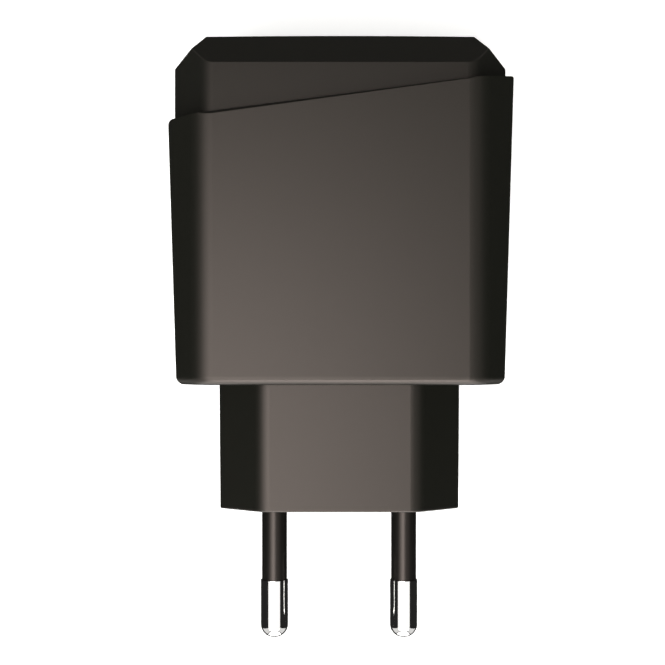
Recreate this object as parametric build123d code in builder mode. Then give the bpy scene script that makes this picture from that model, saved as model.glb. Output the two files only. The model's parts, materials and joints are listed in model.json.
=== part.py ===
from build123d import *
from math import sqrt
import os

# USB wall charger with a fixed two-pin European plug, in millimetres.
# The origin is the middle of the plug's engagement face, between the two pins. The pins run to +Y, into the
# wall outlet, and the body runs to -Y, into the room, where the two USB ports open. +Z is the upper wide
# face.
# A station is a distance from the engagement face into the room, so station s lies at Y = -s.

# ---- driving dimensions --------------------------------------------------------------------------
beyond = 1.0                     # how far a trimming solid reaches past the one it trims
hair = 0.01                      # tolerance when edges are picked by their place

# plug
pin_pitch = 19.0
pin_length = 19.1                # beyond the engagement face
pin_r = 2.0
pin_core_r = 1.4                 # the metal inside the insulating tube
pin_tube_r = 1.84
pin_tube_length = 10.7           # insulated part beyond the engagement face
pin_dome = 1.8
pin_root = 5.0                   # depth of the insulated part inside the neck
pin_collar_r = 2.4
pin_collar = 2.0
pin_tail_r = 1.0
pin_tail = 2.2
neck_half_width = 17.48
neck_face_half_width = 17.32
neck_half_thick = 6.85
neck_bevel_width = 6.3
neck_bevel_depth = 4.75
neck_soft_r = 3.5
neck_wall = 1.8
neck_floor = 5.0
neck_side_r = 0.8
neck_boss_r = 3.8
neck_flange = 1.8
neck_edge_round = 0.3
flange_bevel_width = 4.1
eyelet_r = 3.0
strip_thick = 0.5
strip_width = 3.0
strip_stop = 26.0

# body stations
shoulder = 18.3
taper_end = 54.6                 # the body is parallel from here to the port end
port_end = 67.38
port_end_crown = 0.15

# outer sleeve
sleeve_base_half_width = 23.03
sleeve_splay = 0.0336            # outward lean of each side, per millimetre of station
sleeve_half_thick = 12.5
sleeve_bevel_width = 5.15
sleeve_soft_r = 5.0
sleeve_floor = 1.5
mouth_mid = 58.65                # station of the slanting mouth on the centre line
mouth_slope = 0.1352
sleeve_base_round = 1.2
sleeve_section_spare = 0.2       # the section stands this far outside the plan
mouth_round_low = 0.8
mouth_round_high = 0.3
mouth_lip_bevel = 0.3

# core housing
core_half_width = 23.4
core_base_half_width = 21.9
core_half_thick = 11.5
core_bevel_width = 4.6
core_soft_r = 3.2
core_corner = 4.45               # 45 degree corners beside the port end
core_end_bevel_length = 4.1
core_end_bevel_depth = 3.1
core_wall = 1.5
bevel_slope = 0.805              # depth over width of every long bevel on the body
fit = 0.05                       # gap all round between two housing parts
core_edge_round = 0.3

# board
board_top = -2.85
board_thick = 1.6
board_half_width = 20.3
board_start = 23.0
board_stop = 64.5
board_corner = 1.5
rail_height = 1.0
rail_inner_x = 19.5
rail_outer_x = 21.9
rail_gap = 0.1
rail_short = 3.0                 # the rails stop this far before the board does
hole_r = 0.5
lead_r = 0.3
lead_seat = 0.4                  # how far a lead reaches into its own part
lead_bend = 1.3                  # from the end of a lying part to its bent lead
lead_reach = 1.2                 # below the board's lower face

# USB-A sockets
port_x = 9.5
port_mouth = 66.9
port_shell_width = 13.1
port_shell_height = 5.7
port_shell_depth = 14.0
sheet = 0.3
shell_inner_r = 0.4
port_window_gap = 0.1
tongue_width = 11.1
tongue_thick = 1.84
tongue_length = 8.6
tongue_drop = 0.7                # from the shell's inner roof to the tongue
port_block_depth = 4.2
contact_width = 1.0
contact_thick = 0.3
contact_length = 7.4
contact_places = (-3.5, -1.0, 1.0, 3.5)
contact_tail_reach = 0.6         # below the board's lower face
leg_set_forward = (3.0, 9.0)     # from the back of the shell
leg_width = 1.8
leg_reach = 0.8                  # below the board's lower face
leg_slot_gap = 0.2
spring_length = 5.0
spring_width = 1.8
spring_gap = 0.35
spring_set_back = 2.5
spring_places = (-3.2, 3.2)
tongue_chamfer = 0.4

# transformer
transformer_x = -5.0
transformer_station = 42.5
ferrite_width = 16.0
ferrite_length = 13.6
ferrite_thick = 5.0
ferrite_leg = 2.5
ferrite_back = 2.0
ferrite_centre = 4.0
bobbin_wall = 0.7
bobbin_flange_half = 5.35
bobbin_rail_length = 3.9
bobbin_rail_width = 15.0
bobbin_rail_overhang = 1.5
bobbin_lift = 0.25
winding_half = 5.0
winding_corner = 1.5
tape_thick = 0.2

# other parts on the board
bulk_r = 4.0
bulk_length = 14.0
bulk_xs = (8.2, 16.4)
bulk_start = 27.0
bulk_rim = 0.6
bulk_lift = 0.15
bulk_lead_x = 1.75
output_r = 3.15
output_height = 9.0
output_x = -16.25
output_stations = (41.5, 48.5)
output_rim = 0.5
output_lead_x = 1.25
choke_x = -14.5
choke_station = 29.0
choke_r = 4.0
choke_waist_r = 2.0
choke_winding_r = 3.5
choke_height = 9.0
choke_rim = 1.2
fuse_x = -1.0
fuse_station = 26.0
fuse_r = 1.6
fuse_length = 8.0
fuse_round = 0.5
fuse_lift = 0.3
fuse_lead = 1.0                  # from the body's end to the bent lead
disc_x = 8.5
disc_station = 47.5
disc_r = 3.6
disc_thick = 3.2
disc_round = 1.4
disc_lift = 1.0
disc_lead = 2.5
chip_lift = 0.15
chip_corner = 0.2
chip_leg_width = 0.4
chip_leg_length = 0.9
chip_leg_seat = 0.1
chip_leg_share = 0.45            # of the package's height
passive_length = 2.0
passive_width = 1.25
passive_height = 0.6
passive_pitch = 2.4
slot_length = 9.0
slot_width = 1.2
slot_x = 12.5
slot_station = 47.5

os.makedirs("parts", exist_ok=True)
board_bottom = board_top - board_thick


# ---- shared shapes -------------------------------------------------------------------------------
def octagon(half_width, half_thick, bevel_width, bevel_depth, soft_r, side_r):
    """Section across the body: two wide faces, four bevels and two narrow sides, with softened corners."""
    flat = half_width - bevel_width
    side = half_thick - bevel_depth
    with BuildSketch() as section:
        with BuildLine():
            Polyline(
                (half_width, -side), (half_width, side), (flat, half_thick), (-flat, half_thick),
                (-half_width, side), (-half_width, -side), (-flat, -half_thick), (flat, -half_thick),
                close=True,
            )
        make_face()
        wide = section.vertices().filter_by(lambda v: abs(v.Y) > side + hair)
        fillet(wide, radius=soft_r)
        if side_r > 0:
            narrow = section.vertices().filter_by(lambda v: abs(v.X) > half_width - hair)
            fillet(narrow, radius=side_r)
    return section.sketch


def core_form(grow, start):
    """The core's outer form grown by a gap, or its cavity when grow is negative, from the start on."""
    half_width = core_half_width + grow
    base_half_width = core_base_half_width + grow
    half_thick = core_half_thick + grow
    end = port_end + grow
    corner = core_corner + grow * (2 - sqrt(2))
    bevel_angle_shift = grow * (sqrt(1 + bevel_slope**2) - 1) / bevel_slope
    bevel_width = core_bevel_width + grow - bevel_angle_shift
    with BuildSketch() as plan:
        with BuildLine():
            Polyline(
                (0, -start), (base_half_width, -start), (half_width, -taper_end),
                (half_width, -(end - corner)), (half_width - corner, -end),
            )
            ThreePointArc(
                (half_width - corner, -end), (0, -(end + port_end_crown)), (corner - half_width, -end)
            )
            Polyline(
                (corner - half_width, -end), (-half_width, -(end - corner)), (-half_width, -taper_end),
                (-base_half_width, -start), (0, -start),
            )
        make_face()
    section = octagon(
        half_width, half_thick, bevel_width, bevel_width * bevel_slope, core_soft_r + grow, 0
    )
    end_slope = core_end_bevel_depth / core_end_bevel_length
    with BuildSketch() as profile:
        reach = core_end_bevel_length + port_end_crown
        depth = reach * end_slope
        tip = end + port_end_crown
        with BuildLine():
            Polyline(
                (-start, half_thick), (-(tip - reach), half_thick), (-tip, half_thick - depth),
                (-tip, depth - half_thick), (-(tip - reach), -half_thick), (-start, -half_thick),
                close=True,
            )
        make_face()
    with BuildPart() as form:
        with BuildSketch(Plane.XY):
            add(plan.sketch)
        extrude(amount=half_thick + beyond, both=True)
        with BuildSketch(Plane.XZ):
            add(section)
        extrude(amount=port_end + beyond, mode=Mode.INTERSECT)
        with BuildSketch(Plane.YZ):
            add(profile.sketch)
        extrude(amount=half_width + beyond, both=True, mode=Mode.INTERSECT)
    return form.part


neck_section = octagon(
    neck_half_width, neck_half_thick, neck_bevel_width, neck_bevel_depth, neck_soft_r, neck_side_r
)
neck_opening = offset(neck_section, amount=fit)
neck_hollow = offset(neck_section, amount=-neck_wall)

# ---- outer sleeve: satin cover with a slanting mouth ---------------------------------------------
mouth_low = mouth_mid - mouth_slope * sleeve_base_half_width
mouth_high = mouth_mid + mouth_slope * sleeve_base_half_width
low_half_width = sleeve_base_half_width + sleeve_splay * (mouth_low - shoulder)
high_half_width = sleeve_base_half_width + sleeve_splay * (mouth_high - shoulder)
sleeve_section = octagon(
    high_half_width + sleeve_section_spare, sleeve_half_thick,
    sleeve_bevel_width, sleeve_bevel_width * bevel_slope, sleeve_soft_r, 0,
)
sleeve_room = core_form(fit, shoulder + sleeve_floor)
across_mouth = Plane(origin=(0, -mouth_mid, 0), x_dir=(mouth_slope, -1, 0), z_dir=(1, mouth_slope, 0))

with BuildPart() as outer_sleeve:
    with BuildSketch(Plane.XY):
        with BuildLine():
            Polyline(
                (-sleeve_base_half_width, -shoulder), (sleeve_base_half_width, -shoulder),
                (low_half_width, -mouth_low), (-high_half_width, -mouth_high),
                close=True,
            )
        make_face()
    extrude(amount=sleeve_half_thick + beyond, both=True)
    with BuildSketch(Plane.XZ):
        add(sleeve_section)
    extrude(amount=port_end, mode=Mode.INTERSECT)
    fillet(outer_sleeve.edges().group_by(Axis.Y)[-1], radius=sleeve_base_round)
    upright = outer_sleeve.edges().filter_by(Axis.Z)
    upright = upright.filter_by(lambda e: e.center().Y < -(mouth_low - beyond))
    fillet(upright.sort_by(Axis.X)[-1], radius=mouth_round_low)
    upright = outer_sleeve.edges().filter_by(Axis.Z)
    upright = upright.filter_by(lambda e: e.center().Y < -(mouth_high - beyond))
    fillet(upright.sort_by(Axis.X)[0], radius=mouth_round_high)
    add(sleeve_room, mode=Mode.SUBTRACT)
    with BuildSketch(Plane.XZ.offset(shoulder - beyond)):
        add(neck_opening)
    extrude(amount=sleeve_floor + 2 * beyond, mode=Mode.SUBTRACT)
    with BuildSketch(across_mouth):
        for s in (-1, 1):
            with BuildLine():
                Polyline(
                    (-mouth_lip_bevel - beyond, s * (sleeve_half_thick + beyond)),
                    (beyond, s * (sleeve_half_thick - mouth_lip_bevel - beyond)),
                    (beyond, s * (sleeve_half_thick + beyond)),
                    close=True,
                )
            make_face()
    extrude(amount=high_half_width + beyond, both=True, mode=Mode.SUBTRACT)
outer_sleeve.part.label = "outer_sleeve"
export_step(outer_sleeve.part, "parts/outer_sleeve.step")

# ---- core housing: bevelled box with two port windows, open at the plug end ----------------------
core_start = shoulder + sleeve_floor + fit
core_room = core_form(-core_wall, core_start)
flange_end = core_start + neck_flange
window_width = port_shell_width + 2 * port_window_gap
window_height = port_shell_height + 2 * port_window_gap
rail_length = board_stop - flange_end - rail_short
window_start = port_end - 3 * core_wall

with BuildPart() as core_housing:
    add(core_form(0, core_start))
    end_zone = port_end - core_corner - beyond
    fillet(core_housing.edges().filter_by(lambda e: e.center().Y < -end_zone), radius=core_edge_round)
    add(core_room, mode=Mode.SUBTRACT)
    with BuildSketch(Plane.XZ.offset(window_start)):
        with Locations((-port_x, 0), (port_x, 0)):
            Rectangle(window_width, window_height)
    extrude(amount=port_end + beyond - window_start, mode=Mode.SUBTRACT)
    with BuildSketch(Plane.XZ.offset(flange_end + rail_gap)):
        rail_x = (rail_inner_x + rail_outer_x) / 2
        upper_z = board_top + rail_gap + rail_height / 2
        lower_z = board_bottom - rail_gap - rail_height / 2
        with Locations((-rail_x, upper_z), (rail_x, upper_z), (-rail_x, lower_z), (rail_x, lower_z)):
            Rectangle(rail_outer_x - rail_inner_x, rail_height)
    extrude(amount=rail_length)
core_housing.part.label = "core_housing"
export_step(core_housing.part, "parts/core_housing.step")

# ---- plug neck: hollow eight-sided block that carries the pins, with a flange trapped inside the core
flange_section = octagon(
    core_base_half_width - core_wall - 2 * fit, core_half_thick - core_wall - 2 * fit,
    flange_bevel_width, flange_bevel_width * bevel_slope, core_soft_r - core_wall, 0,
)
pin_places = ((-pin_pitch / 2, 0), (pin_pitch / 2, 0))

with BuildPart() as plug_neck:
    with BuildSketch(Plane.XY):
        with BuildLine():
            Polyline(
                (neck_face_half_width, 0), (neck_half_width, -shoulder), (neck_half_width, -flange_end),
                (-neck_half_width, -flange_end), (-neck_half_width, -shoulder), (-neck_face_half_width, 0),
                close=True,
            )
        make_face()
    extrude(amount=neck_half_thick + beyond, both=True)
    with BuildSketch(Plane.XZ):
        add(neck_section)
    extrude(amount=flange_end, mode=Mode.INTERSECT)
    fillet(plug_neck.edges().group_by(Axis.Y)[-1], radius=neck_edge_round)
    with BuildSketch(Plane.XZ.offset(core_start)):
        add(flange_section)
    extrude(amount=neck_flange)
    with BuildSketch(Plane.XZ.offset(neck_floor)):
        add(neck_hollow)
    extrude(amount=flange_end, mode=Mode.SUBTRACT)
    with BuildSketch(Plane.XZ.offset(neck_floor)):
        with Locations(*pin_places):
            Circle(neck_boss_r)
    extrude(amount=pin_collar)
    with BuildSketch(Plane.XZ):
        with Locations(*pin_places):
            Circle(pin_tube_r)
    extrude(amount=pin_root, mode=Mode.SUBTRACT)
    with BuildSketch(Plane.XZ.offset(pin_root)):
        with Locations(*pin_places):
            Circle(pin_collar_r)
    extrude(amount=pin_collar + beyond, mode=Mode.SUBTRACT)
plug_neck.part.label = "plug_neck"
export_step(plug_neck.part, "parts/plug_neck.step")

# ---- pins, their insulating tubes and the strips that feed the board -----------------------------
eyelet_station = pin_root + pin_collar

for side, x in (("left", -pin_pitch / 2), ("right", pin_pitch / 2)):
    with BuildPart() as plug_pin:
        with BuildSketch(Plane.XY):
            with BuildLine():
                Polyline(
                    (x, -(eyelet_station + pin_tail)), (x + pin_tail_r, -(eyelet_station + pin_tail)),
                    (x + pin_tail_r, -eyelet_station), (x + pin_collar_r, -eyelet_station),
                    (x + pin_collar_r, -pin_root), (x + pin_core_r, -pin_root),
                    (x + pin_core_r, pin_tube_length), (x + pin_r, pin_tube_length),
                    (x + pin_r, pin_length), (x, pin_length),
                    close=True,
                )
            make_face()
        revolve(axis=Axis((x, 0, 0), (0, 1, 0)))
        fillet(plug_pin.edges().sort_by(Axis.Y)[-1], radius=pin_dome)
    plug_pin.part.label = f"plug_pin_{side}"
    export_step(plug_pin.part, f"parts/plug_pin_{side}.step")

    with BuildPart() as pin_tube:
        with BuildSketch(Plane.XZ.offset(pin_root)):
            with Locations((x, 0)):
                Circle(pin_tube_r)
                Circle(pin_core_r, mode=Mode.SUBTRACT)
        extrude(amount=-(pin_root + pin_tube_length))
    pin_tube.part.label = f"pin_insulation_{side}"
    export_step(pin_tube.part, f"parts/pin_insulation_{side}.step")

    with BuildPart() as pin_strip:
        with BuildSketch(Plane.XZ.offset(eyelet_station)):
            with Locations((x, 0)):
                Circle(eyelet_r)
                Circle(pin_tail_r, mode=Mode.SUBTRACT)
        extrude(amount=strip_thick)
        with BuildSketch(Plane.XY.offset(board_top)):
            with Locations((x, -(eyelet_station + strip_stop) / 2)):
                Rectangle(strip_width, strip_stop - eyelet_station)
        extrude(amount=strip_thick)
    pin_strip.part.label = f"pin_strip_{side}"
    export_step(pin_strip.part, f"parts/pin_strip_{side}.step")

# ---- USB-A sockets: steel shell, plastic tongue block and four contacts each ---------------------
shell_inner_width = port_shell_width - 2 * sheet
shell_inner_height = port_shell_height - 2 * sheet
port_back = port_mouth - port_shell_depth
leg_stations = [port_back + forward for forward in leg_set_forward]
leg_x = (port_shell_width - sheet) / 2
tongue_top = shell_inner_height / 2 - tongue_drop
tongue_bottom = tongue_top - tongue_thick
tongue_tip = port_back + port_block_depth + tongue_length
contact_tip = port_back + port_block_depth + contact_length
contact_foot = board_bottom - contact_tail_reach
spring_middle = -(port_mouth - spring_set_back - spring_length / 2)

for side, x in (("left", -port_x), ("right", port_x)):
    with BuildPart() as port_shell:
        with BuildSketch(Plane.XZ.offset(port_back)):
            with Locations((x, 0)):
                RectangleRounded(port_shell_width, port_shell_height, shell_inner_r + sheet)
                RectangleRounded(shell_inner_width, shell_inner_height, shell_inner_r, mode=Mode.SUBTRACT)
        extrude(amount=port_shell_depth)
        with BuildSketch(Plane.XY.offset(board_bottom - leg_reach)):
            with Locations(*[(x + s * leg_x, -station) for s in (-1, 1) for station in leg_stations]):
                Rectangle(sheet, leg_width)
        extrude(amount=leg_reach - board_bottom)
        with BuildSketch(Plane.XY):
            with Locations(*[(x + place, spring_middle) for place in spring_places]):
                Rectangle(spring_width + 2 * spring_gap, spring_length)
            with Locations(*[(x + place, spring_middle - spring_gap) for place in spring_places]):
                Rectangle(spring_width, spring_length, mode=Mode.SUBTRACT)
        extrude(amount=port_shell_height, mode=Mode.SUBTRACT)
    port_shell.part.label = f"port_shell_{side}"
    export_step(port_shell.part, f"parts/port_shell_{side}.step")

    with BuildPart() as port_contacts:
        with BuildSketch(Plane.XY.offset(tongue_bottom)):
            with Locations(*[(x + place, -(port_back + contact_tip) / 2) for place in contact_places]):
                Rectangle(contact_width, contact_tip - port_back + 2 * sheet)
        extrude(amount=contact_thick)
        with BuildSketch(Plane.XY.offset(contact_foot)):
            with Locations(*[(x + place, -(port_back - sheet / 2)) for place in contact_places]):
                Rectangle(contact_width / 2, sheet)
        extrude(amount=tongue_bottom - contact_foot)
    port_contacts.part.label = f"port_contacts_{side}"

    with BuildPart() as port_tongue:
        with BuildSketch(Plane.XZ.offset(port_back)):
            with Locations((x, 0)):
                RectangleRounded(shell_inner_width - 2 * fit, shell_inner_height - 2 * fit, shell_inner_r)
        extrude(amount=port_block_depth)
        with BuildSketch(Plane.XZ.offset(port_back + port_block_depth)):
            with Locations((x, (tongue_top + tongue_bottom) / 2)):
                Rectangle(tongue_width, tongue_thick)
        extrude(amount=tongue_length)
        chamfer(port_tongue.edges().group_by(Axis.Y)[0].filter_by(Axis.X), length=tongue_chamfer)
        add(port_contacts.part, mode=Mode.SUBTRACT)
    port_tongue.part.label = f"port_tongue_{side}"
    export_step(port_tongue.part, f"parts/port_tongue_{side}.step")
    export_step(port_contacts.part, f"parts/port_contacts_{side}.step")

# ---- transformer: ferrite, bobbin, winding and tape ----------------------------------------------
bobbin_half = ferrite_length / 2 - ferrite_back - fit
transformer_z = board_top + bobbin_flange_half + bobbin_lift
tube_half_width = ferrite_centre / 2 + fit + bobbin_wall
tube_half_thick = ferrite_thick / 2 + fit + bobbin_wall
rail_reach = ferrite_length / 2 + bobbin_rail_overhang
rail_top = transformer_z - ferrite_thick / 2 - fit
coil_plane = Plane(
    origin=(transformer_x, -transformer_station, transformer_z), x_dir=(1, 0, 0), z_dir=(0, -1, 0)
)

with BuildPart() as transformer_ferrite:
    with BuildSketch(Plane.XY.offset(transformer_z)):
        with Locations((transformer_x, -transformer_station)):
            Rectangle(ferrite_width, ferrite_length)
            window = (ferrite_width - ferrite_centre) / 2 - ferrite_leg
            window_x = (ferrite_centre + window) / 2
            with Locations((-window_x, 0), (window_x, 0)):
                Rectangle(window, ferrite_length - 2 * ferrite_back, mode=Mode.SUBTRACT)
    extrude(amount=ferrite_thick / 2, both=True)
transformer_ferrite.part.label = "transformer_ferrite"
export_step(transformer_ferrite.part, "parts/transformer_ferrite.step")

with BuildPart() as transformer_bobbin:
    with BuildSketch(coil_plane):
        Rectangle(2 * tube_half_width, 2 * tube_half_thick)
    extrude(amount=bobbin_half, both=True)
    for end in (-1, 1):
        with BuildSketch(coil_plane.offset(end * (bobbin_half - bobbin_wall / 2))):
            Rectangle(2 * bobbin_flange_half, 2 * bobbin_flange_half)
        extrude(amount=bobbin_wall / 2, both=True)
    with BuildSketch(Plane.XY.offset(board_top)):
        for end in (-1, 1):
            rail_middle = -transformer_station + end * (rail_reach - bobbin_rail_length / 2)
            with Locations((transformer_x, rail_middle)):
                Rectangle(bobbin_rail_width, bobbin_rail_length)
    extrude(amount=rail_top - board_top)
    with BuildSketch(coil_plane):
        Rectangle(ferrite_centre + 2 * fit, ferrite_thick + 2 * fit)
    extrude(amount=bobbin_half + beyond, both=True, mode=Mode.SUBTRACT)
transformer_bobbin.part.label = "transformer_bobbin"
export_step(transformer_bobbin.part, "parts/transformer_bobbin.step")

coil_half_length = bobbin_half - bobbin_wall
for name, inner, outer in (
    ("transformer_winding", 0, winding_half),
    ("transformer_tape", winding_half, winding_half + tape_thick),
):
    with BuildPart() as coil:
        with BuildSketch(coil_plane):
            RectangleRounded(2 * outer, 2 * outer, winding_corner)
            if inner:
                RectangleRounded(2 * inner, 2 * inner, winding_corner, mode=Mode.SUBTRACT)
            else:
                Rectangle(2 * tube_half_width, 2 * tube_half_thick, mode=Mode.SUBTRACT)
        extrude(amount=coil_half_length, both=True)
    coil.part.label = name
    export_step(coil.part, f"parts/{name}.step")

# ---- input side: two bulk capacitors, fuse resistor, choke and bridge rectifier ------------------
lead_foot = board_bottom - lead_reach
holes = []
bulk_z = board_top + bulk_r + bulk_lift
bulk_stop = bulk_start + bulk_length
bend_station = bulk_stop + lead_bend
for number, x in enumerate(bulk_xs, start=1):
    with BuildPart() as bulk_capacitor:
        with BuildSketch(Plane.XZ.offset(bulk_start)):
            with Locations((x, bulk_z)):
                Circle(bulk_r)
        extrude(amount=bulk_length)
        fillet(bulk_capacitor.edges().filter_by(GeomType.CIRCLE), radius=bulk_rim)
        with BuildSketch(Plane.XY.offset(bulk_z)):
            for s in (-1, 1):
                with Locations((x + s * bulk_lead_x, -(bend_station + lead_r + bulk_stop - lead_seat) / 2)):
                    Rectangle(2 * lead_r, lead_bend + lead_r + lead_seat)
        extrude(amount=lead_r, both=True)
        with BuildSketch(Plane.XY.offset(lead_foot)):
            for s in (-1, 1):
                lead = (x + s * bulk_lead_x, -bend_station)
                holes.append(lead)
                with Locations(lead):
                    Circle(lead_r)
        extrude(amount=bulk_z - lead_foot)
    bulk_capacitor.part.label = f"bulk_capacitor_{number}"
    export_step(bulk_capacitor.part, f"parts/bulk_capacitor_{number}.step")

fuse_z = board_top + fuse_r + fuse_lift
with BuildPart() as fuse_resistor:
    with BuildSketch(Plane.YZ.offset(fuse_x - fuse_length / 2)):
        with Locations((-fuse_station, fuse_z)):
            Circle(fuse_r)
    extrude(amount=fuse_length)
    fillet(fuse_resistor.edges().filter_by(GeomType.CIRCLE), radius=fuse_round)
    with BuildSketch(Plane.YZ.offset(fuse_x - fuse_length / 2 - fuse_lead)):
        with Locations((-fuse_station, fuse_z)):
            Circle(lead_r)
    extrude(amount=fuse_length + 2 * fuse_lead)
    with BuildSketch(Plane.XY.offset(lead_foot)):
        for s in (-1, 1):
            lead = (fuse_x + s * (fuse_length / 2 + fuse_lead), -fuse_station)
            holes.append(lead)
            with Locations(lead):
                Circle(lead_r)
    extrude(amount=fuse_z - lead_foot)
fuse_resistor.part.label = "fuse_resistor"
export_step(fuse_resistor.part, "parts/fuse_resistor.step")

choke_plane = Plane.XY.offset(board_top)
with BuildPart() as choke_core:
    with BuildSketch(choke_plane):
        with Locations((choke_x, -choke_station)):
            Circle(choke_r)
    extrude(amount=choke_rim)
    with BuildSketch(choke_plane):
        with Locations((choke_x, -choke_station)):
            Circle(choke_waist_r)
    extrude(amount=choke_height)
    with BuildSketch(choke_plane.offset(choke_height - choke_rim)):
        with Locations((choke_x, -choke_station)):
            Circle(choke_r)
    extrude(amount=choke_rim)
choke_core.part.label = "choke_core"
export_step(choke_core.part, "parts/choke_core.step")

with BuildPart() as choke_winding:
    with BuildSketch(choke_plane.offset(choke_rim)):
        with Locations((choke_x, -choke_station)):
            Circle(choke_winding_r)
            Circle(choke_waist_r, mode=Mode.SUBTRACT)
    extrude(amount=choke_height - 2 * choke_rim)
choke_winding.part.label = "choke_winding"
export_step(choke_winding.part, "parts/choke_winding.step")


# ---- surface-mounted parts: a body with a row of flat legs on each side --------------------------
def chip(x, station, width, length, height, legs, pitch, face, direction):
    """A chip standing on the board's upper (+1) or lower (-1) face, its leg rows along X."""
    with BuildPart() as package:
        with BuildSketch(Plane.XY.offset(face + direction * chip_lift)):
            with Locations((x, -station)):
                Rectangle(width, length)
        extrude(amount=direction * (height - chip_lift))
        chamfer(package.edges().filter_by(Axis.Z), length=chip_corner)
        with BuildSketch(Plane.XY.offset(face)):
            for row in (-1, 1):
                for place in range(legs):
                    leg_place = (place - (legs - 1) / 2) * pitch
                    row_y = row * ((length + chip_leg_length) / 2 - chip_leg_seat)
                    with Locations((x + leg_place, row_y - station)):
                        Rectangle(chip_leg_width, chip_leg_length)
        extrude(amount=direction * height * chip_leg_share)
    return package.part


# Name, then place across and station, body width, length and height, legs per row, leg pitch, board face
# and direction.
chips = (
    ("bridge_rectifier", chip(-1.0, 31.0, 4.9, 3.6, 2.5, 2, 2.5, board_top, 1)),
    ("optocoupler", chip(16.0, 47.5, 4.6, 6.0, 3.4, 2, 2.54, board_top, 1)),
    ("primary_controller", chip(0, 33.0, 4.9, 3.9, 1.6, 4, 1.27, board_bottom, -1)),
    ("output_rectifier", chip(-10.0, 49.0, 4.9, 3.9, 1.6, 4, 1.27, board_bottom, -1)),
    ("charge_controller", chip(0, 60.0, 2.9, 1.6, 1.2, 3, 0.95, board_bottom, -1)),
)
for name, body in chips:
    body.label = name
    export_step(body, f"parts/{name}.step")

# ---- output side: two capacitors and the safety capacitor across the isolation gap ---------------
for number, station in enumerate(output_stations, start=1):
    with BuildPart() as output_capacitor:
        with BuildSketch(Plane.XY.offset(board_top)):
            with Locations((output_x, -station)):
                Circle(output_r)
        extrude(amount=output_height)
        fillet(output_capacitor.edges().filter_by(GeomType.CIRCLE), radius=output_rim)
        with BuildSketch(Plane.XY.offset(lead_foot)):
            for s in (-1, 1):
                lead = (output_x + s * output_lead_x, -station)
                holes.append(lead)
                with Locations(lead):
                    Circle(lead_r)
        extrude(amount=board_top + 2 * lead_seat - lead_foot)
    output_capacitor.part.label = f"output_capacitor_{number}"
    export_step(output_capacitor.part, f"parts/output_capacitor_{number}.step")

disc_z = board_top + disc_r + disc_lift
with BuildPart() as safety_capacitor:
    with BuildSketch(Plane.YZ.offset(disc_x - disc_thick / 2)):
        with Locations((-disc_station, disc_z)):
            Circle(disc_r)
    extrude(amount=disc_thick)
    fillet(safety_capacitor.edges().filter_by(GeomType.CIRCLE), radius=disc_round)
    with BuildSketch(Plane.XY.offset(lead_foot)):
        for s in (-1, 1):
            lead = (disc_x, -disc_station + s * disc_lead)
            holes.append(lead)
            with Locations(lead):
                Circle(lead_r)
    extrude(amount=disc_z - lead_foot)
safety_capacitor.part.label = "safety_capacitor"
export_step(safety_capacitor.part, "parts/safety_capacitor.step")

# ---- main board, with holes for the leads, slots for the socket legs and an isolation slot -------
with BuildPart() as main_board:
    with BuildSketch(Plane.XY.offset(board_bottom)):
        with Locations((0, -(board_start + board_stop) / 2)):
            Rectangle(2 * board_half_width, board_stop - board_start)
    extrude(amount=board_thick)
    chamfer(main_board.edges().filter_by(Axis.Z), length=board_corner)
    with BuildSketch(Plane.XY.offset(board_bottom)):
        with Locations(*holes):
            Circle(hole_r)
        with Locations((slot_x, -slot_station)):
            SlotOverall(slot_length, slot_width, rotation=90)
        for x in (-port_x, port_x):
            with Locations(*[(x + s * leg_x, -station) for s in (-1, 1) for station in leg_stations]):
                Rectangle(sheet + 2 * leg_slot_gap, leg_width + 2 * leg_slot_gap)
            with Locations(*[(x + place, -(port_back - sheet / 2)) for place in contact_places]):
                Rectangle(contact_width / 2 + 2 * leg_slot_gap, sheet + 2 * leg_slot_gap)
    extrude(amount=board_thick, mode=Mode.SUBTRACT)
main_board.part.label = "main_board"
export_step(main_board.part, "parts/main_board.step")

# ---- small passives on the lower face of the board -----------------------------------------------
passive_rows = (("chip_resistors", -6.0, 40.0, 6), ("chip_capacitors", 14.5, 32.0, 5))
for name, x, station, count in passive_rows:
    with BuildPart() as passives:
        with BuildSketch(Plane.XY.offset(board_bottom - passive_height)):
            with Locations((x, -station)):
                with GridLocations(passive_pitch, passive_pitch, 1, count):
                    Rectangle(passive_length, passive_width)
        extrude(amount=passive_height)
    passives.part.label = name
    export_step(passives.part, f"parts/{name}.step")
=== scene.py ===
import json
from math import cos, pi, radians, sin, tan

import bpy
from mathutils import Matrix, Vector


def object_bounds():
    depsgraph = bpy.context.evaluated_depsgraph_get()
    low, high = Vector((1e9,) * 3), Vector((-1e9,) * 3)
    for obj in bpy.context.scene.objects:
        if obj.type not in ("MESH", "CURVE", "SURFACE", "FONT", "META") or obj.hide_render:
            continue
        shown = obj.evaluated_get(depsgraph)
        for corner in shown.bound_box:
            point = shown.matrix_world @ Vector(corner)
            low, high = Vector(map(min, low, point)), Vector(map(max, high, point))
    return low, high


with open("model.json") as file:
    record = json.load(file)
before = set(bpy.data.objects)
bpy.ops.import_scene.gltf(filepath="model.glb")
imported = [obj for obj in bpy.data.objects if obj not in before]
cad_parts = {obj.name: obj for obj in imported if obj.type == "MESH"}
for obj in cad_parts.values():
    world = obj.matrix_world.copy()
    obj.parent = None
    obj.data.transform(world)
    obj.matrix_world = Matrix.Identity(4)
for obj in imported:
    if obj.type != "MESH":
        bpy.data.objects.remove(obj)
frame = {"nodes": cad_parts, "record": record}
cad_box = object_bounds()

# The charger lies on its lower wide face: the pins point to +Y, the USB ports open to -Y and +Z is up.
# All lengths are in metres.


# ---- material helpers ----------------------------------------------------------------------------------------
def new_material(name):
    """A fresh node material and its Principled shader."""
    material = bpy.data.materials.new(name)
    material.use_nodes = True
    return material, material.node_tree.nodes["Principled BSDF"]


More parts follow.
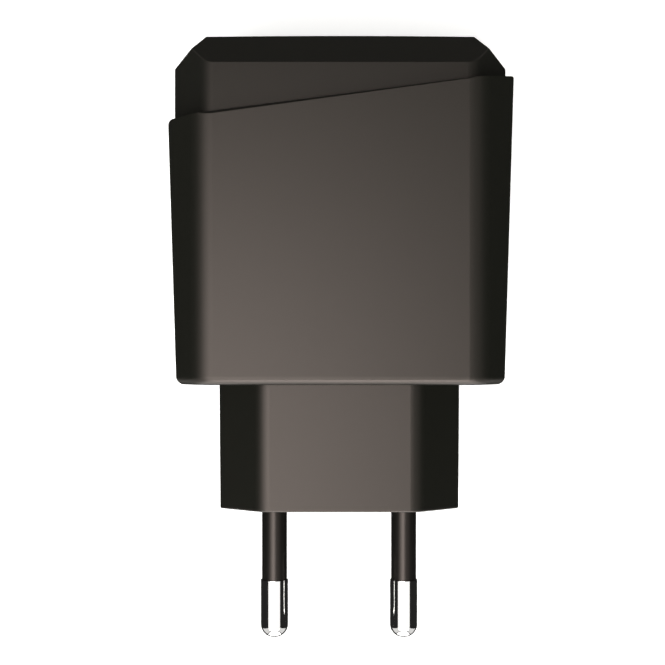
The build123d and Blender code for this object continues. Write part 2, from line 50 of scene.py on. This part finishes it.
def noise(tree, scale, detail=3.0, roughness=0.55):
    """Noise over the object's own coordinates, which are metres."""
    place = tree.nodes.new("ShaderNodeTexCoord")
    texture = tree.nodes.new("ShaderNodeTexNoise")
    texture.inputs["Scale"].default_value = scale
    texture.inputs["Detail"].default_value = detail
    texture.inputs["Roughness"].default_value = roughness
    tree.links.new(place.outputs["Object"], texture.inputs["Vector"])
    return texture.outputs["Fac"]


def spread(tree, value, low, high, first=0.0, last=1.0):
    """Maps a value that runs from first to last onto low to high, and holds it there outside that range."""
    node = tree.nodes.new("ShaderNodeMapRange")
    node.inputs["From Min"].default_value = first
    node.inputs["From Max"].default_value = last
    node.inputs["To Min"].default_value = low
    node.inputs["To Max"].default_value = high
    tree.links.new(value, node.inputs["Value"])
    return node.outputs["Result"]


def two_tone(tree, value, low, high):
    """Mixes two colours by a 0 to 1 value."""
    node = tree.nodes.new("ShaderNodeMix")
    node.data_type = "RGBA"
    node.inputs["A"].default_value = (*low, 1)
    node.inputs["B"].default_value = (*high, 1)
    tree.links.new(value, node.inputs["Factor"])
    return node.outputs["Result"]


def bump(tree, shader, height, distance):
    """Adds a height to the shader's normal."""
    node = tree.nodes.new("ShaderNodeBump")
    node.inputs["Distance"].default_value = distance
    tree.links.new(height, node.inputs["Height"])
    tree.links.new(node.outputs["Normal"], shader.inputs["Normal"])


# ---- materials ------------------------------------------------------------------------------------------------
def moulded_plastic(name, dark, light, roughness, grain, depth, tint, gloss=0.5):
    """Moulded plastic: a fine even grain in height and gloss, and a very slight drift of colour."""
    colour_drift = 60.0
    gloss_drift = 0.05
    material, shader = new_material(name)
    tree = material.node_tree
    fine = noise(tree, grain, 4.0)
    broad = noise(tree, colour_drift, 2.0)
    tree.links.new(two_tone(tree, broad, dark, light), shader.inputs["Base Color"])
    tree.links.new(spread(tree, fine, roughness - gloss_drift, roughness + gloss_drift), shader.inputs["Roughness"])
    bump(tree, shader, fine, depth)
    shader.inputs["Specular IOR Level"].default_value = gloss
    shader.inputs["Specular Tint"].default_value = (*tint, 1)
    return material


def plated_metal(name, colour, roughness, grain, depth=0.000002):
    """Plated metal with faint rubbing marks in its gloss."""
    material, shader = new_material(name)
    tree = material.node_tree
    shader.inputs["Base Color"].default_value = (*colour, 1)
    shader.inputs["Metallic"].default_value = 1.0
    marks = noise(tree, grain, 5.0, 0.7)
    tree.links.new(spread(tree, marks, roughness * 0.7, roughness * 1.4), shader.inputs["Roughness"])
    bump(tree, shader, marks, depth)
    return material


def plain_part(name, dark, light, roughness, grain):
    """A small inner part: mottled colour, an uneven gloss and a slight relief."""
    gloss_drift = 0.08
    relief = 0.00001
    material, shader = new_material(name)
    tree = material.node_tree
    mottle = noise(tree, grain, 4.0)
    tree.links.new(two_tone(tree, mottle, dark, light), shader.inputs["Base Color"])
    tree.links.new(spread(tree, mottle, roughness - gloss_drift, roughness + gloss_drift), shader.inputs["Roughness"])
    bump(tree, shader, mottle, relief)
    return material


# The tints of the plastics' sheen: the housing and the pins' insulation look warm, the sockets' blocks don't.
warm = (1.0, 0.84, 0.76)
neutral = (1.0, 1.0, 0.97)
materials = {
    "satin_shell": moulded_plastic(
        "satin_shell", (0.0050, 0.0056, 0.0040), (0.0060, 0.0066, 0.0048), 0.36, 9000.0, 0.0000025, warm
    ),
    "core_shell": moulded_plastic(
        "core_shell", (0.0058, 0.0062, 0.0048), (0.0070, 0.0074, 0.0058), 0.40, 9000.0, 0.000003, warm, 0.33
    ),
    "pin_insulation": moulded_plastic(
        "pin_insulation", (0.0050, 0.0049, 0.0041), (0.0060, 0.0058, 0.0050), 0.34, 7000.0, 0.000002, warm
    ),
    "nickel": plated_metal("nickel", (0.83, 0.82, 0.80), 0.06, 900.0, 0.0000004),
    "tin_strip": plated_metal("tin_strip", (0.70, 0.68, 0.64), 0.32, 1200.0),
    "socket_steel": plated_metal("socket_steel", (0.66, 0.66, 0.66), 0.24, 1500.0),
    "socket_plastic": moulded_plastic(
        "socket_plastic", (0.012, 0.012, 0.012), (0.016, 0.016, 0.016), 0.38, 6000.0, 0.000002, neutral
    ),
    "contact_gold": plated_metal("contact_gold", (0.90, 0.68, 0.30), 0.20, 2000.0),
    "board": plain_part("board", (0.012, 0.09, 0.035), (0.020, 0.13, 0.05), 0.30, 300.0),
    "ferrite": plain_part("ferrite", (0.030, 0.029, 0.028), (0.055, 0.053, 0.051), 0.62, 1800.0),
    "bobbin": plain_part("bobbin", (0.014, 0.014, 0.014), (0.022, 0.021, 0.020), 0.50, 900.0),
    "copper_wire": plain_part("copper_wire", (0.30, 0.10, 0.035), (0.52, 0.20, 0.07), 0.32, 1500.0),
    "yellow_tape": plain_part("yellow_tape", (0.72, 0.46, 0.03), (0.82, 0.56, 0.06), 0.30, 500.0),
    "capacitor_sleeve": plain_part("capacitor_sleeve", (0.010, 0.010, 0.014), (0.016, 0.016, 0.022), 0.28, 400.0),
    "capacitor_can": plated_metal("capacitor_can", (0.80, 0.80, 0.81), 0.30, 800.0),
    "blue_disc": plain_part("blue_disc", (0.02, 0.09, 0.36), (0.03, 0.13, 0.46), 0.35, 700.0),
    "resistor_body": plain_part("resistor_body", (0.05, 0.16, 0.10), (0.08, 0.22, 0.14), 0.55, 1200.0),
    "chip_plastic": plain_part("chip_plastic", (0.014, 0.014, 0.015), (0.022, 0.022, 0.023), 0.55, 3000.0),
    "passive": plain_part("passive", (0.20, 0.15, 0.10), (0.30, 0.24, 0.17), 0.45, 2500.0),
}

slots = {part["node"]: part["material_slot"] for part in frame["record"]["subparts"]}
for node, obj in frame["nodes"].items():
    for place in obj.material_slots:
        place.material = materials[slots[node]]

# ---- floor and light -------------------------------------------------------------------------------------------
low, high = (Vector(corner) for corner in cad_box)
middle = (low + high) / 2

floor_size = 6.0
floor_gap = 0.0001
bpy.ops.mesh.primitive_plane_add(size=floor_size, location=(0, 0, low.z - floor_gap))
floor = bpy.context.object
floor.name = "floor"

# A matt pale floor with a glow of its own, which grows with the distance from the charger, so that it is white
# everywhere and the charger's soft shadow still shows. The charger's gloss doesn't reflect it.
near_charger, far_off = 0.12, 0.50
weak_glow, full_glow = 0.50, 1.00
floor_material, floor_shader = new_material("floor")
floor_tree = floor_material.node_tree
floor_shader.inputs["Base Color"].default_value = (0.90, 0.90, 0.89, 1)
floor_shader.inputs["Roughness"].default_value = 1.0
floor_shader.inputs["Specular IOR Level"].default_value = 0.0
floor_shader.inputs["Emission Color"].default_value = (1.0, 0.99, 0.97, 1)
floor_place = floor_tree.nodes.new("ShaderNodeTexCoord")
distance = floor_tree.nodes.new("ShaderNodeVectorMath")
distance.operation = "LENGTH"
floor_tree.links.new(floor_place.outputs["Object"], distance.inputs[0])
floor_glow = spread(floor_tree, distance.outputs["Value"], weak_glow, full_glow, near_charger, far_off)
floor_tree.links.new(floor_glow, floor_shader.inputs["Emission Strength"])
floor.data.materials.append(floor_material)
floor.visible_glossy = False


def area_light(name, width, height, glow):
    """A rectangular light that the camera doesn't see. Glow is its brightness, white being 1."""
    data = bpy.data.lights.new(name, "AREA")
    data.shape = "RECTANGLE"
    data.size = width
    data.size_y = height
    data.energy = glow * pi * width * height
    lamp = bpy.data.objects.new(name, data)
    bpy.context.collection.objects.link(lamp)
    lamp.visible_camera = False
    return lamp


def softbox(name, left, right, near, far, height, glow):
    """A level light over the charger, facing down. Its edges are given as the angles, in degrees from straight up,
    at which the charger sees them: towards +X, -X, +Y and -Y."""
    xs = [height * tan(radians(angle)) for angle in (left, -right)]
    ys = [height * tan(radians(angle)) for angle in (near, -far)]
    lamp = area_light(name, xs[0] - xs[1], ys[0] - ys[1], glow)
    lamp.location = (middle.x + sum(xs) / 2, middle.y + sum(ys) / 2, height)
    return lamp


def upright_panel(name, around, away, low_angle, high_angle, half_width, glow):
    """An upright light facing the charger, at an angle around it in degrees from +X towards +Y. The low and high
    angles, in degrees above the charger, are those of its lower and upper edges."""
    bottom = away * tan(radians(low_angle))
    top = away * tan(radians(high_angle))
    lamp = area_light(name, 2 * half_width, top - bottom, glow)
    out = Vector((cos(radians(around)), sin(radians(around)), 0))
    lamp.location = (middle.x + away * out.x, middle.y + away * out.y, (top + bottom) / 2)
    lamp.rotation_euler = (radians(90), 0, radians(around + 90))


def only_for(lamp, nodes):
    """Makes a light fall on these nodes alone."""
    receivers = bpy.data.collections.new(f"{lamp.name}_receivers")
    for node in nodes:
        receivers.objects.link(frame["nodes"][node])
    lamp.light_linking.receiver_collection = receivers


# One broad soft light overhead, and three smaller ones inside it that brighten the charger's +X side and its pin end.
softbox("wide_light", left=52, right=49, near=60, far=22, height=0.80, glow=0.48)
softbox("side_light", left=36, right=-11, near=45, far=10, height=0.79, glow=2.5)
softbox("key_light", left=20, right=0, near=40, far=4, height=0.78, glow=2.4)
softbox("middle_light", left=12, right=5, near=40, far=6, height=0.77, glow=4.3)

# Two upright panels beyond the pins light the sleeve's rounded base and the pins' tips, and a weak one lights the
# port end. Four at the corners give the sides and the top a sheen when the charger is seen at an angle.
upright_panel("edge_light", around=90, away=0.63, low_angle=20, high_angle=42, half_width=0.20, glow=10.5)
upright_panel("tip_light", around=90, away=0.64, low_angle=-30, high_angle=19, half_width=0.30, glow=3.4)
upright_panel("port_light", around=-90, away=0.64, low_angle=-3, high_angle=25, half_width=0.40, glow=0.20)
for corner in (45, 135, 225, 315):
    upright_panel(
        f"corner_light_{corner}", around=corner, away=0.80, low_angle=-30, high_angle=36, half_width=0.22, glow=0.8
    )

# The broad light again, for the metal pins alone, so that the band along them is white over its whole width.
pin_light = softbox("pin_light", left=52, right=49, near=60, far=22, height=0.81, glow=0.75)
only_for(pin_light, ("plug_pin_left", "plug_pin_right"))

# The surroundings light the charger very weakly, and the camera sees them as white.
sky_light, sky_seen = 0.02, 1.00
world = bpy.data.worlds.new("studio")
world.use_nodes = True
sky = world.node_tree.nodes["Background"]
rays = world.node_tree.nodes.new("ShaderNodeLightPath")
sky_strength = spread(world.node_tree, rays.outputs["Is Camera Ray"], sky_light, sky_seen)
world.node_tree.links.new(sky_strength, sky.inputs["Strength"])
sky.inputs["Color"].default_value = (1, 1, 1, 1)
bpy.context.scene.world = world

# ---- camera ----------------------------------------------------------------------------------------------------
# It looks straight down on the upper wide face with the USB end at the top of the picture. It stands a little to
# the +X side, and the lens is shifted back over the charger.
eye_height = 0.205
eye_aside = 0.0044
eye_along = -0.0014
eye = Vector((middle.x + eye_aside, middle.y + eye_along, eye_height))
backward = Vector((0, 0, 1))
upward = Vector((0, -1, 0))
sideways = upward.cross(backward)
camera_data = bpy.data.cameras.new("camera")
camera_data.lens = 75.4
camera_data.sensor_width = 36.0
camera_data.shift_x = 0.0340
camera_data.clip_start = 0.01
camera_data.clip_end = 20.0
camera = bpy.data.objects.new("camera", camera_data)
bpy.context.collection.objects.link(camera)
camera.location = eye
camera.rotation_euler = Matrix((sideways, upward, backward)).transposed().to_euler()
bpy.context.scene.camera = camera
bpy.context.scene.view_settings.view_transform = "Standard"
